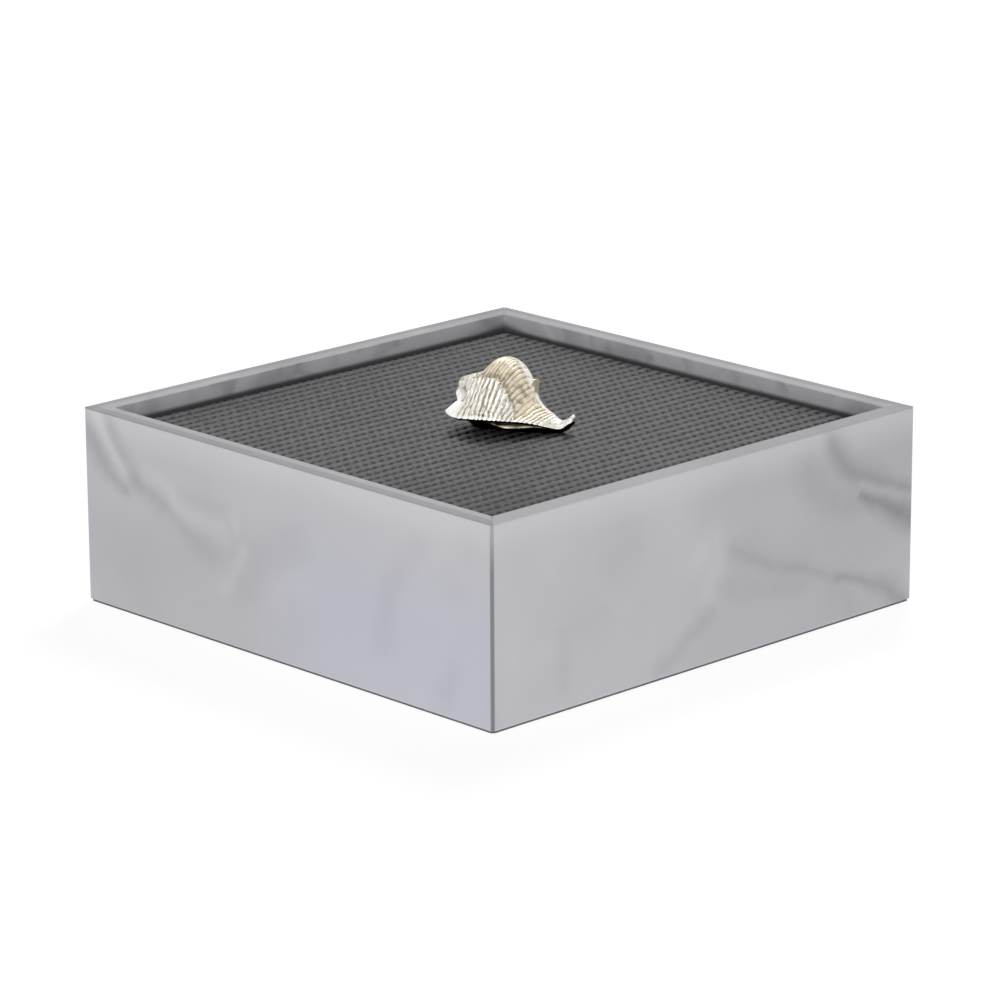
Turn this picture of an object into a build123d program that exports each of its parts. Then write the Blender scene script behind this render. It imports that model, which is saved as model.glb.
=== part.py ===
from build123d import *
import math
import os

# Marble box with a lift-off leather lid and a cast seashell as its knob.
# Millimetres, +Z up, origin on the floor under the middle of the box.

# Case
box_width = 270.0
box_height = 93.0
wall_thickness = 10.0
corner_flat = 1.4
edge_round = 0.7
seam_thickness = 0.3
base_thickness = 10.0
felt_thickness = 1.0
felt_inset = 0.8
felt_corner = 2.0

# Lining
floor_card_thickness = 2.0
side_card_thickness = 3.0
suede_thickness = 0.8

# Lid
lid_recess = 8.5
lid_gap = 2.0
lid_corner = 3.0
lid_board_thickness = 6.0
leather_thickness = 1.4
leather_round = 1.2
turn_in_width = 14.0
turn_in_thickness = 0.9
lid_suede_clearance = 0.7

# Knob fixings
screw_diameter = 4.0
screw_depth = 8.0
screw_clearance = 0.1
head_diameter = 7.6
head_height = 2.2
head_bevel = 0.9
washer_diameter = 9.0
washer_thickness = 0.8
pocket_clearance = 0.4

# Seashell knob
shell_length = 57.0
shell_height = 32.3
lip_reach = 20.5
back_reach = 17.0
lip_lean = 0.33
shell_bearing = -67.0
shell_seat_x = 0.0
shell_seat_y = -5.0
shell_seat_share = 0.42
rib_count = 18
rib_height = 0.42
rib_first_share = 0.115
rib_last_share = 0.85
crest_share = 0.5
spire_steps = 4
canal_steps = 4
screw_shares = (0.32, 0.58)

# One overrun for every cut
overrun = 2.0

# How a slab or a cylinder stands: centred in plan on its level
standing = (Align.CENTER, Align.CENTER, Align.MIN)

# Shell stations from spire to canal, in shares of the shell sizes. Each row gives the place along the
# axis, crown, axis height, lip reach, lip rise, back reach, foot, low front reach, high front reach.
shell_station_shares = (
    (0.028, 0.650, 0.500, 0.170, 0.450, 0.260, 0.359, 0.62, 0.40),
    (0.060, 0.680, 0.485, 0.250, 0.388, 0.400, 0.291, 0.52, 0.32),
    (0.10, 0.702, 0.468, 0.400, 0.330, 0.580, 0.201, 0.48, 0.29),
    (0.13, 0.716, 0.460, 0.850, 0.315, 0.680, 0.142, 0.34, 0.21),
    (0.175, 0.743, 0.443, 0.945, 0.262, 0.800, 0.056, 0.47, 0.29),
    (0.246, 0.805, 0.421, 0.985, 0.234, 0.920, -0.031, 0.64, 0.40),
    (0.300, 0.905, 0.402, 0.995, 0.236, 0.980, -0.043, 0.72, 0.45),
    (0.345, 0.974, 0.387, 1, 0.240, 1, -0.046, 0.77, 0.48),
    (0.39, 1, 0.372, 1, 0.244, 0.980, -0.046, 0.80, 0.50),
    (0.443, 0.986, 0.353, 0.995, 0.247, 0.900, -0.046, 0.80, 0.50),
    (0.496, 0.928, 0.337, 0.985, 0.249, 0.780, -0.046, 0.80, 0.50),
    (0.540, 0.848, 0.319, 0.971, 0.249, 0.660, -0.046, 0.79, 0.50),
    (0.582, 0.735, 0.294, 0.951, 0.249, 0.530, -0.046, 0.77, 0.49),
    (0.615, 0.610, 0.272, 0.932, 0.248, 0.440, -0.046, 0.75, 0.48),
    (0.655, 0.465, 0.250, 0.893, 0.244, 0.370, -0.046, 0.72, 0.44),
    (0.700, 0.368, 0.222, 0.820, 0.236, 0.320, -0.043, 0.72, 0.42),
    (0.746, 0.302, 0.194, 0.722, 0.222, 0.280, -0.037, 0.72, 0.42),
    (0.807, 0.250, 0.148, 0.566, 0.186, 0.225, -0.028, 0.74, 0.44),
    (0.882, 0.180, 0.088, 0.327, 0.112, 0.159, -0.009, 0.78, 0.48),
    (0.940, 0.196, 0.108, 0.195, 0.088, 0.129, 0.032, 0.80, 0.50),
    (1, 0.280, 0.200, 0.125, 0.170, 0.095, 0.130, 0.80, 0.50),
)

# Shell section: how far out and how high the other points of its curve stand
front_low_rise_share = 0.28
front_high_rise_share = 0.74
crown_back_share = 0.06
shoulder_reach_share = 0.72
shoulder_rise_share = 0.72
flank_reach_share = 0.86
flank_rise_share = 0.40
heel_share = 0.55
toe_share = 0.30
mouth_reach_share = 0.58
mouth_rise_share = 0.84
lip_under_reach_share = 0.95
lip_under_drop_share = 0.14
curve_shares = [0, 0.15, 0.32, 0.50, 0.66, 0.79, 0.90, 1]

# Derived levels and half widths
half = box_width / 2
inner_half = half - wall_thickness
wall_height = box_height - felt_thickness
floor_card_bottom = felt_thickness + base_thickness
floor_suede_bottom = floor_card_bottom + floor_card_thickness
floor_top = floor_suede_bottom + suede_thickness
lid_top = box_height - lid_recess
lid_board_top = lid_top - leather_thickness
lid_board_bottom = lid_board_top - lid_board_thickness
ledge_top = lid_board_bottom - turn_in_thickness
lining_half = inner_half - side_card_thickness - suede_thickness
lid_half = inner_half - lid_gap
lid_board_half = lid_half - leather_thickness
lid_suede_half = lining_half - lid_suede_clearance
pocket_depth = head_height + washer_thickness + pocket_clearance
washer_bottom = lid_board_bottom + pocket_depth - washer_thickness
tapped_diameter = screw_diameter + screw_clearance


def slab(width, depth, height, bottom):
    """A plain slab standing on a level, centred in plan."""
    return Pos(0, 0, bottom) * Box(width, depth, height, align=standing)


def rod(diameter, height, bottom):
    """A round bar standing on a level, centred in plan."""
    return Pos(0, 0, bottom) * Cylinder(diameter / 2, height, align=standing)


def round_upright_edges(solid, radius):
    """Round the upright corner edges of a slab."""
    return fillet(solid.edges().filter_by(Axis.Z), radius)


def edge_along(solid, across, level):
    """The long edge of a wall at a given place across its thickness and level."""
    def far(edge):
        middle = edge.center()
        return math.hypot(middle.Y - across, middle.Z - level)
    return sorted(solid.edges().filter_by(Axis.X), key=far)[0]


def wall():
    """One mitred marble wall on the -Y side, with flats at its outer corners and soft long edges."""
    mitre_shift = seam_thickness / math.sqrt(2)
    outer_x = half - corner_flat
    flat_y = -(box_width - corner_flat + mitre_shift) / 2
    flat_x = -(flat_y + mitre_shift)
    inner_x = inner_half - mitre_shift
    outline = [(-outer_x, -half), (outer_x, -half), (flat_x, flat_y), (inner_x, -inner_half),
               (-inner_x, -inner_half), (-flat_x, flat_y)]
    solid = extrude(make_face(Polyline(*outline, close=True)), wall_height)
    solid = Pos(0, 0, felt_thickness) * solid
    soft = [edge_along(solid, -half, box_height), edge_along(solid, -inner_half, box_height),
            edge_along(solid, -half, felt_thickness)]
    return fillet(soft, edge_round)


def corner_seams():
    """The adhesive film in each mitre, from the outer flat to the inner corner."""
    outer = (box_width - corner_flat) / math.sqrt(2)
    inner = inner_half * math.sqrt(2)
    film = Pos((outer + inner) / 2, 0, 0) * slab(outer - inner, seam_thickness, wall_height - edge_round,
                                                 felt_thickness)
    return [Rot(0, 0, turn) * film for turn in (45, 135, 225, 315)]


def side_card(length):
    """Lining card for the -Y wall, standing on the floor suede."""
    height = ledge_top - suede_thickness - floor_top
    card = slab(length, side_card_thickness, height, floor_top)
    return Pos(0, -(inner_half - side_card_thickness / 2), 0) * card


def side_suede(length):
    """Suede over the card's inner face and top edge, the ledge that the lid rests on."""
    face_y = -(inner_half - side_card_thickness)
    profile = [(-inner_half, ledge_top), (-inner_half, ledge_top - suede_thickness),
               (face_y, ledge_top - suede_thickness), (face_y, floor_top), (-lining_half, floor_top),
               (-lining_half, ledge_top)]
    sheet = extrude(Plane.YZ * make_face(Polyline(*profile, close=True)), length / 2, both=True)
    top_edge = edge_along(sheet, -lining_half, ledge_top)
    return fillet([top_edge], suede_thickness / 2)


def shell_place(share):
    """Plan position on the lid of a place along the shell's axis."""
    along = (share - shell_seat_share) * shell_length
    bearing = math.radians(shell_bearing)
    return (shell_seat_x + along * math.cos(bearing), shell_seat_y + along * math.sin(bearing))


def at_screws(solid):
    """Copies of a solid at each knob screw."""
    return [Pos(*shell_place(share), 0) * solid for share in screw_shares]


def lid_board():
    """Lid panel with a stepped hole for each knob screw."""
    board = slab(2 * lid_board_half, 2 * lid_board_half, lid_board_thickness, lid_board_bottom)
    board = round_upright_edges(board, lid_corner - leather_thickness)
    pocket = rod(washer_diameter + pocket_clearance, pocket_depth, lid_board_bottom)
    bore = rod(screw_diameter + pocket_clearance, lid_board_thickness + overrun, lid_board_bottom)
    for cut in at_screws(pocket) + at_screws(bore):
        board -= cut
    return board


def lid_leather():
    """Leather drawn over the board's top and edges and turned in underneath."""
    height = lid_top - ledge_top
    cover = round_upright_edges(slab(2 * lid_half, 2 * lid_half, height, ledge_top), lid_corner)
    cover = fillet(cover.faces().sort_by(Axis.Z)[-1].edges(), leather_round)
    cover = chamfer(cover.faces().sort_by(Axis.Z)[0].edges(), turn_in_thickness / 2)
    space = slab(2 * lid_board_half, 2 * lid_board_half, lid_board_thickness, lid_board_bottom)
    cover -= round_upright_edges(space, lid_corner - leather_thickness)
    opening_half = lid_half - turn_in_width
    cover -= slab(2 * opening_half, 2 * opening_half, turn_in_thickness + overrun, ledge_top - overrun)
    bore = rod(screw_diameter + pocket_clearance, leather_thickness + 2 * overrun, lid_board_top - overrun)
    for cut in at_screws(bore):
        cover -= cut
    return cover


def knob_screw():
    """Pan-head machine screw, head down, standing on the middle."""
    head_bottom = washer_bottom - head_height
    head = rod(head_diameter, head_height, head_bottom)
    head = chamfer(head.faces().sort_by(Axis.Z)[0].edges(), head_bevel)
    shank = rod(screw_diameter, lid_top + screw_depth - overrun - washer_bottom, washer_bottom)
    return head + shank


def knob_washer():
    """Flat washer between the screw head and the board."""
    ring = rod(washer_diameter, washer_thickness, washer_bottom)
    return ring - rod(screw_diameter + pocket_clearance, washer_thickness, washer_bottom)


def eased(share):
    """A smooth curve through each column of the shell stations, at a place along the axis."""
    rows = shell_station_shares
    last = len(rows) - 1
    low = max(i for i in range(last) if rows[i][0] <= share or i == 0)
    span = rows[low + 1][0] - rows[low][0]
    t = (share - rows[low][0]) / span

    def slope(i, column):
        before, after = rows[max(i - 1, 0)], rows[min(i + 1, last)]
        return (after[column] - before[column]) / (after[0] - before[0]) * span

    def value(column):
        start, end = slope(low, column), slope(low + 1, column)
        rise = rows[low + 1][column] - rows[low][column]
        bend = start + end - 2 * rise
        return rows[low][column] + t * (start + t * (rise - start - bend + t * bend))
    return [value(column) for column in range(1, len(rows[0]))]


def shell_point(share, across, up):
    """A point of the shell, on a section that leans toward the spire on its lip side."""
    return Vector((share - shell_seat_share) * shell_length + lip_lean * across, across, up)


def shell_section(share, rib):
    """One closed section across the shell axis, swollen outward by the height of a rib."""
    crown_s, axis_s, lip_s, lip_rise_s, back_s, foot_s, front_low, front_high = eased(share)
    crown, axis, lip, foot = [shell_height * value for value in (crown_s, axis_s, lip_rise_s, foot_s)]
    reach, back = lip_reach * lip_s, back_reach * back_s
    rise = crown - lip
    curve = [(-reach, lip),
             (-reach * front_low, lip + rise * front_low_rise_share),
             (-reach * front_high, lip + rise * front_high_rise_share),
             (back * crown_back_share, crown),
             (back * shoulder_reach_share, axis + (crown - axis) * shoulder_rise_share),
             (back, axis),
             (back * flank_reach_share, foot + (axis - foot) * flank_rise_share)]
    swollen = []
    for across, up in curve:
        out = math.hypot(across, up - axis)
        swollen.append((across * (out + rib) / out, axis + (up - axis) * (out + rib) / out))
    heel = (back * heel_share, foot)
    toe = (-reach * toe_share, foot)
    mouth = (-reach * mouth_reach_share, foot + (lip - foot) * mouth_rise_share)
    under = (-reach * lip_under_reach_share, lip - (lip - foot) * lip_under_drop_share)
    dorsal = [shell_point(share, *place) for place in swollen + [heel]]
    belly = [shell_point(share, *place) for place in (heel, toe, mouth, under, swollen[0])]
    edges = [Edge.make_spline(dorsal, parameters=curve_shares)]
    edges += [Edge.make_line(start, end) for start, end in zip(belly, belly[1:])]
    return Wire(edges)


def shell_knob():
    """Cast whelk lying mouth down: ribbed body, flared lip, blunt spire, upturned canal."""
    pitch_share = (rib_last_share - rib_first_share) / rib_count
    spire_share = shell_station_shares[0][0]
    spire_reach = rib_first_share - spire_share
    places = [(spire_share + spire_reach * i / spire_steps, 0) for i in range(spire_steps)]
    for rib in range(rib_count):
        groove_share = rib_first_share + rib * pitch_share
        places.append((groove_share, 0))
        places.append((groove_share + pitch_share * crest_share, rib_height))
    places += [(rib_last_share + (1 - rib_last_share) * i / canal_steps, 0) for i in range(canal_steps + 1)]
    shell = Solid.make_loft([shell_section(share, rib) for share, rib in places], ruled=True)
    shell -= slab(2 * shell_length, 2 * shell_length, shell_height, -shell_height)
    place = Pos(shell_seat_x, shell_seat_y, lid_top) * Rot(0, 0, shell_bearing)
    shell = place * shell
    bore = rod(tapped_diameter, screw_depth + overrun, lid_top - overrun)
    for cut in at_screws(bore):
        shell -= cut
    return shell


def build():
    """Every node of the box, by name."""
    inner = 2 * inner_half
    between = 2 * lining_half
    nodes = {}
    walls = ("wall_front", "wall_right", "wall_rear", "wall_left")
    sides = ("front", "right", "rear", "left")
    for turn, (name, side) in enumerate(zip(walls, sides)):
        spin = Rot(0, 0, 90 * turn)
        length = inner if turn % 2 == 0 else between
        nodes[name] = [spin * wall()]
        nodes["lining_card_" + side] = [spin * side_card(length)]
        nodes["lining_suede_" + side] = [spin * side_suede(length)]
    nodes["corner_seams"] = corner_seams()
    nodes["base_slab"] = [slab(inner, inner, base_thickness, felt_thickness)]
    felt_side = box_width - 2 * felt_inset
    nodes["base_felt"] = [round_upright_edges(slab(felt_side, felt_side, felt_thickness, 0), felt_corner)]
    nodes["floor_card"] = [slab(inner, inner, floor_card_thickness, floor_card_bottom)]
    nodes["floor_suede"] = [slab(inner, inner, suede_thickness, floor_suede_bottom)]
    nodes["lid_board"] = [lid_board()]
    nodes["lid_leather"] = [lid_leather()]
    filler_side = 2 * (lid_half - turn_in_width)
    nodes["lid_filler_card"] = [slab(filler_side, filler_side, turn_in_thickness, ledge_top)]
    nodes["lid_suede"] = [slab(2 * lid_suede_half, 2 * lid_suede_half, suede_thickness,
                               ledge_top - suede_thickness)]
    nodes["shell_knob"] = [shell_knob()]
    nodes["knob_screws"] = at_screws(knob_screw())
    nodes["knob_washers"] = at_screws(knob_washer())
    return nodes


def export(nodes):
    """Write each node's solids to its own STEP file."""
    os.makedirs("parts", exist_ok=True)
    for name, shapes in nodes.items():
        solids = [solid for shape in shapes for solid in shape.solids()]
        export_step(Compound(children=solids), os.path.join("parts", name + ".step"))


export(build())
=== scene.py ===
"""Looks for a marble box with a recessed leather lid and a cast seashell knob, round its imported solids."""

import logging
import math
from dataclasses import dataclass
from enum import Enum
from functools import partial, partialmethod
from typing import Any, Callable

import bmesh
import bpy
from mathutils import Matrix, Vector, noise


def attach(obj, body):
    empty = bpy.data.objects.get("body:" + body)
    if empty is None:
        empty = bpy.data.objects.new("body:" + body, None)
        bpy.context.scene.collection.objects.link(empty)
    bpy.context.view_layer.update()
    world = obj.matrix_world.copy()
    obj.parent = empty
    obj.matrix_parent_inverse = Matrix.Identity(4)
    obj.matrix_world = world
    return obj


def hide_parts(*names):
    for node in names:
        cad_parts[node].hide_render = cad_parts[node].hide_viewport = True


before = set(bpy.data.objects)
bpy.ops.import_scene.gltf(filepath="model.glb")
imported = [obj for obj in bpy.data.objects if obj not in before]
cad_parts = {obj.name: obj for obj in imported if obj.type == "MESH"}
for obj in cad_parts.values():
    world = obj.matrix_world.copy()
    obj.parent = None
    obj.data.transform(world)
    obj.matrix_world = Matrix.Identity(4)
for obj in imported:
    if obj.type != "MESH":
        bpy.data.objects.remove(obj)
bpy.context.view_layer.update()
log = logging.getLogger("marble_box")

MM = 0.001
PER_MILLE = 0.001
TURN = 2.0 * math.pi
# How dull the metal gets in a groove, before the mouth's patina and painted shade begin
GROOVE_DULL = 0.65
Colour = tuple[float, float, float]
Place = tuple[float, float]
Spot = tuple[float, float, float]


class Tone(Enum):
    """Which way a vein shifts the colour of the stone."""

    DARK = "dark"
    LIGHT = "light"
    WHITE = "white"


class Face(Enum):
    """A wall of the case, and how its length runs: the axis it follows and the sign of that axis."""

    FRONT = ("wall_front", "X", 1.0)
    RIGHT = ("wall_right", "Y", 1.0)
    REAR = ("wall_rear", "X", -1.0)
    LEFT = ("wall_left", "Y", -1.0)


def held(value: float, low: float = 0.0, high: float = 1.0) -> float:
    """A value held between two ends."""
    return min(high, max(low, value))


def smooth(value: float, low: float, high: float) -> float:
    """A soft step from 0 at low to 1 at high."""
    share = held((value - low) / (high - low))
    return share * share * (3.0 - 2.0 * share)


def swell(value: float, centre: float, reach: float) -> float:
    """A soft bump of height 1 about a centre."""
    return math.exp(-((value - centre) / reach) ** 2)


def taper(point: Place, start: Place, end: Place, widths: Place) -> float:
    """How deep a point lies in a tapering run.

    Args:
        point: The point.
        start: Where the run starts.
        end: Where it ends.
        widths: Half its width at both ends.

    Returns:
        A share from 1 on its line to 0 at its edge.
    """
    run = Vector(end) - Vector(start)
    reach = Vector(point) - Vector(start)
    share = held(reach.dot(run) / run.length_squared)
    width = widths[0] + (widths[1] - widths[0]) * share
    return 1.0 - smooth((reach - run * share).length / width, 0.0, 1.0)


def spot_between(places: list[float], place: float) -> int:
    """The index of the table's step that a place falls in."""
    last = len(places) - 2
    return max([0] + [index for index in range(last + 1) if places[index] <= place])


def ease_through(places: list[float], values: list[float], place: float) -> float:
    """A smooth curve through a table's values.

    Args:
        places: Where the values stand, rising.
        values: The values.
        place: Where the curve is read.

    Returns:
        The curve's value there.
    """
    low = spot_between(places, place)
    step = places[low + 1] - places[low]

    def slope(index: int) -> float:
        """The curve's slope at one of the values, over this step."""
        before, after = max(index - 1, 0), min(index + 1, len(places) - 1)
        return (values[after] - values[before]) / (places[after] - places[before]) * step

    share, start, end = (place - places[low]) / step, slope(low), slope(low + 1)
    rise = values[low + 1] - values[low]
    bend = start + end - 2.0 * rise
    return values[low] + share * (start + share * (rise - start - bend + share * bend))


def lean_through(places: list[float], values: list[float], place: float) -> float:
    """Straight lines through a table's values, read at a place.

    Args:
        places: Where the values stand, rising.
        values: The values.
        place: Where the lines are read.

    Returns:
        The value there.
    """
    low = spot_between(places, place)
    share = (place - places[low]) / (places[low + 1] - places[low])
    return values[low] + (values[low + 1] - values[low]) * share


@dataclass(frozen=True)
class Wire:
    """A number or vector inside a node tree, which sums can be written with.

    Attributes:
        bench: The bench that it comes from.
        socket: The output that gives it.
    """

    bench: "NodeBench"
    socket: bpy.types.NodeSocket

    def join(self, operation: str, *others: Any) -> "Wire":
        """The result of one operation with other numbers."""
        return self.bench.math(operation, self, *others)

    __add__ = partialmethod(join, "ADD")
    __sub__ = partialmethod(join, "SUBTRACT")
    __mul__ = partialmethod(join, "MULTIPLY")
    __truediv__ = partialmethod(join, "DIVIDE")
    __pow__ = partialmethod(join, "POWER")
    __abs__ = partialmethod(join, "ABSOLUTE")
    __round__ = partialmethod(join, "ROUND")


@dataclass(frozen=True)
class Grain:
    """A noise in a finish.

    Attributes:
        scale: Waves in each metre.
        detail: Octaves.
        roughness: How strong the finer octaves are.
        distortion: How far the noise bends itself.
    """

    scale: float
    detail: float
    roughness: float
    distortion: float = 0.0


class NodeBench:
    """Lays out the nodes of one tree."""

    def __init__(self, tree: bpy.types.NodeTree) -> None:
        """Start on a tree."""
        self.nodes = tree.nodes
        self.links = tree.links

    def add(self, kind: str, **settings: Any) -> bpy.types.Node:
        """Add a shader node.

        Args:
            kind: The node's type, without its prefix.
            settings: Properties to set on it.

        Returns:
            The new node.
        """
        node = self.nodes.new("ShaderNode" + kind)
        for key, value in settings.items():
            setattr(node, key, value)
        return node

    def feed(self, socket: bpy.types.NodeSocket, value: Any) -> None:
        """Link an output to a socket, or set the socket's own value.

        Args:
            socket: The socket.
            value: A wire, an output, a number, a place or a colour.
        """
        source = value.socket if isinstance(value, Wire) else value
        if isinstance(source, bpy.types.NodeSocket):
            self.links.new(source, socket)
        else:
            socket.default_value = (*value, 1.0) if socket.type == "RGBA" else value

    def fill(self, node: bpy.types.Node, *values: Any) -> bpy.types.Node:
        """Feed a node's sockets in their order.

        Args:
            node: The node.
            values: What is fed to its first sockets.

        Returns:
            The node.
        """
        for socket, value in zip(node.inputs, values):
            self.feed(socket, value)
        return node

    def math(self, operation: str, *values: Any, clamp: bool = False) -> Wire:
        """Join numbers by one operation.

        Args:
            operation: The name of the operation.
            values: Numbers or outputs.
            clamp: Whether the result is held between 0 and 1.

        Returns:
            The result.
        """
        node = self.fill(self.add("Math", operation=operation, use_clamp=clamp), *values)
        return Wire(self, node.outputs[0])

    def most(self, numbers: list[Any]) -> Any:
        """The largest of some numbers.

        Args:
            numbers: Wires or outputs.

        Returns:
            The largest.
        """
        largest = numbers[0]
        for number in numbers[1:]:
            largest = self.math("MAXIMUM", largest, number)
        return largest

    def vector(self, operation: str, *values: Any, give: str = "Vector") -> Wire:
        """Join vectors by one operation, and give its vector or its number."""
        node = self.fill(self.add("VectorMath", operation=operation), *values)
        return Wire(self, node.outputs[give])

    def span(self, value: Any, low: Any, high: Any, to_low: Any = 0.0, to_high: Any = 1.0,
             curve: str = "SMOOTHSTEP") -> Wire:
        """A step of one number from low to high, soft unless another curve is named."""
        node = self.add("MapRange", interpolation_type=curve)
        return Wire(self, self.fill(node, value, low, high, to_low, to_high).outputs["Result"])

    def layer(self, base: Any, colour: Any, *shares: Any) -> Wire:
        """Lay a colour over another.

        Args:
            base: What lies underneath.
            colour: What is laid over it.
            shares: How far it covers, as numbers that are multiplied.

        Returns:
            The mixed colour.
        """
        node = self.add("Mix", data_type="RGBA")
        cover = math.prod(shares[1:], start=shares[0])
        for index, value in ((0, cover), (6, base), (7, colour)):
            self.feed(node.inputs[index], value)
        return Wire(self, node.outputs[2])


def run_brush() -> bpy.types.NodeTree:
    """The node group that draws one straight, tapering run, made at its first use.

    Returns:
        The group, with the place, both ends and both half widths as its sockets.
    """
    found = bpy.data.node_groups.get("tapered_run")
    if found:
        return found
    tree = bpy.data.node_groups.new("tapered_run", "ShaderNodeTree")
    sockets = ("Point", "Start", "End", "Start width", "End width")
    for name in sockets:
        kind = "Float" if "width" in name else "Vector"
        tree.interface.new_socket(name, in_out="INPUT", socket_type="NodeSocket" + kind)
    tree.interface.new_socket("Mask", in_out="OUTPUT", socket_type="NodeSocketFloat")
    bench = NodeBench(tree)
    source = tree.nodes.new("NodeGroupInput").outputs
    point, start, end, start_width, end_width = (source[name] for name in sockets)
    run, reach = bench.vector("SUBTRACT", end, start), bench.vector("SUBTRACT", point, start)
    along, whole = (bench.vector("DOT_PRODUCT", item, run, give="Value") for item in (reach, run))
    share = bench.math("DIVIDE", along, whole, clamp=True)
    gap = bench.vector("DISTANCE", point, bench.vector("MULTIPLY_ADD", run, share, start), give="Value")
    width = bench.add("Mix")
    for index, value in ((0, share), (2, start_width), (3, end_width)):
        bench.feed(width.inputs[index], value)
    fade = bench.span(gap / width.outputs[0], 0.0, 1.0, 1.0, 0.0)
    bench.feed(tree.nodes.new("NodeGroupOutput").inputs["Mask"], fade)
    return tree


class FinishBench(NodeBench):
    """Lays out one material round its main shader."""

    def __init__(self, name: str) -> None:
        """Start a material of that name.

        Args:
            name: The material's name.
        """
        self.material = bpy.data.materials.new(name)
        self.material.use_nodes = True
        super().__init__(self.material.node_tree)
        self.shader = self.nodes["Principled BSDF"]
        self.place = self.add("TexCoord").outputs["Object"]

    def axes(self) -> list[Wire]:
        """The place on the piece along each axis."""
        return [Wire(self, axis) for axis in self.fill(self.add("SeparateXYZ"), self.place).outputs]

    def point(self, x: Wire, y: Wire) -> Wire:
        """A place on a plane."""
        return Wire(self, self.fill(self.add("CombineXYZ"), x, y).outputs[0])

    def noise(self, grain: Grain, give: str = "Fac") -> Wire:
        """A noise over the piece, as one number or as a colour.

        Args:
            grain: The noise.
            give: The output that is wanted.

        Returns:
            The noise's number or colour.
        """
        node = self.fill(self.add("TexNoise"), self.place)
        for key, value in vars(grain).items():
            node.inputs[key.capitalize()].default_value = value
        return Wire(self, node.outputs[give])

    def attribute(self, name: str) -> Wire:
        """A number that the mesh carries."""
        return Wire(self, self.add("Attribute", attribute_name=name).outputs["Fac"])

    def run(self, point: Wire, start: Place, end: Place, widths: Place) -> Wire:
        """Draw one straight, tapering run.

        Args:
            point: The place on the surface, in metres.
            start: Where the run starts.
            end: Where it ends.
            widths: Half its width at both ends.

        Returns:
            A share from 1 on its line to 0 at its edge.
        """
        node = self.add("Group", node_tree=run_brush())
        return Wire(self, self.fill(node, point, (*start, 0.0), (*end, 0.0), *widths).outputs["Mask"])

    def dress(self, **values: Any) -> None:
        """Set or link the shader's sockets, with spaces in their names written as underscores."""
        for key, value in values.items():
            self.feed(self.shader.inputs[key.replace("_", " ")], value)

    def bump(self, height: Wire, depth: float, strength: float) -> None:
        """Press a height into the surface, with its full depth in metres.

        Args:
            height: The height, from 0 to 1.
            depth: The depth.
            strength: How much of it shows.
        """
        node = self.add("Bump")
        for key, value in (("Strength", strength), ("Distance", depth), ("Height", height)):
            self.feed(node.inputs[key], value)
        self.dress(Normal=node.outputs["Normal"])


@dataclass(frozen=True)
class Vein:
    """A soft streak in a slab.

    Attributes:
        tone: Dark, light or white.
        strength: How far it shifts the colour, from 0 to 1.
        widths: Half its width at the start and at the end, in millimetres.
        path: Places along it, in thousandths of the slab's length and height.
        core: How far its thin middle shifts the colour further.
    """

    tone: Tone
    strength: float
    widths: Place
    path: tuple[Place, ...]
    core: float = 0.0


@dataclass(frozen=True)
class SlabLook:
    """How the stone of one wall varies.

    Attributes:
        veins: Its own veins.
        pale_end: The end of its length that is palest, 0 or 1.
        fade: How far it darkens toward the other end.
        lilac: How strong the lilac bloom low at the pale end is.
        streak: How strong the painted shade on the outer half of its top edge is.
    """

    veins: tuple[Vein, ...] = ()
    pale_end: float = 0.0
    fade: float = 0.0
    lilac: float = 0.0
    streak: float = 0.0


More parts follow.
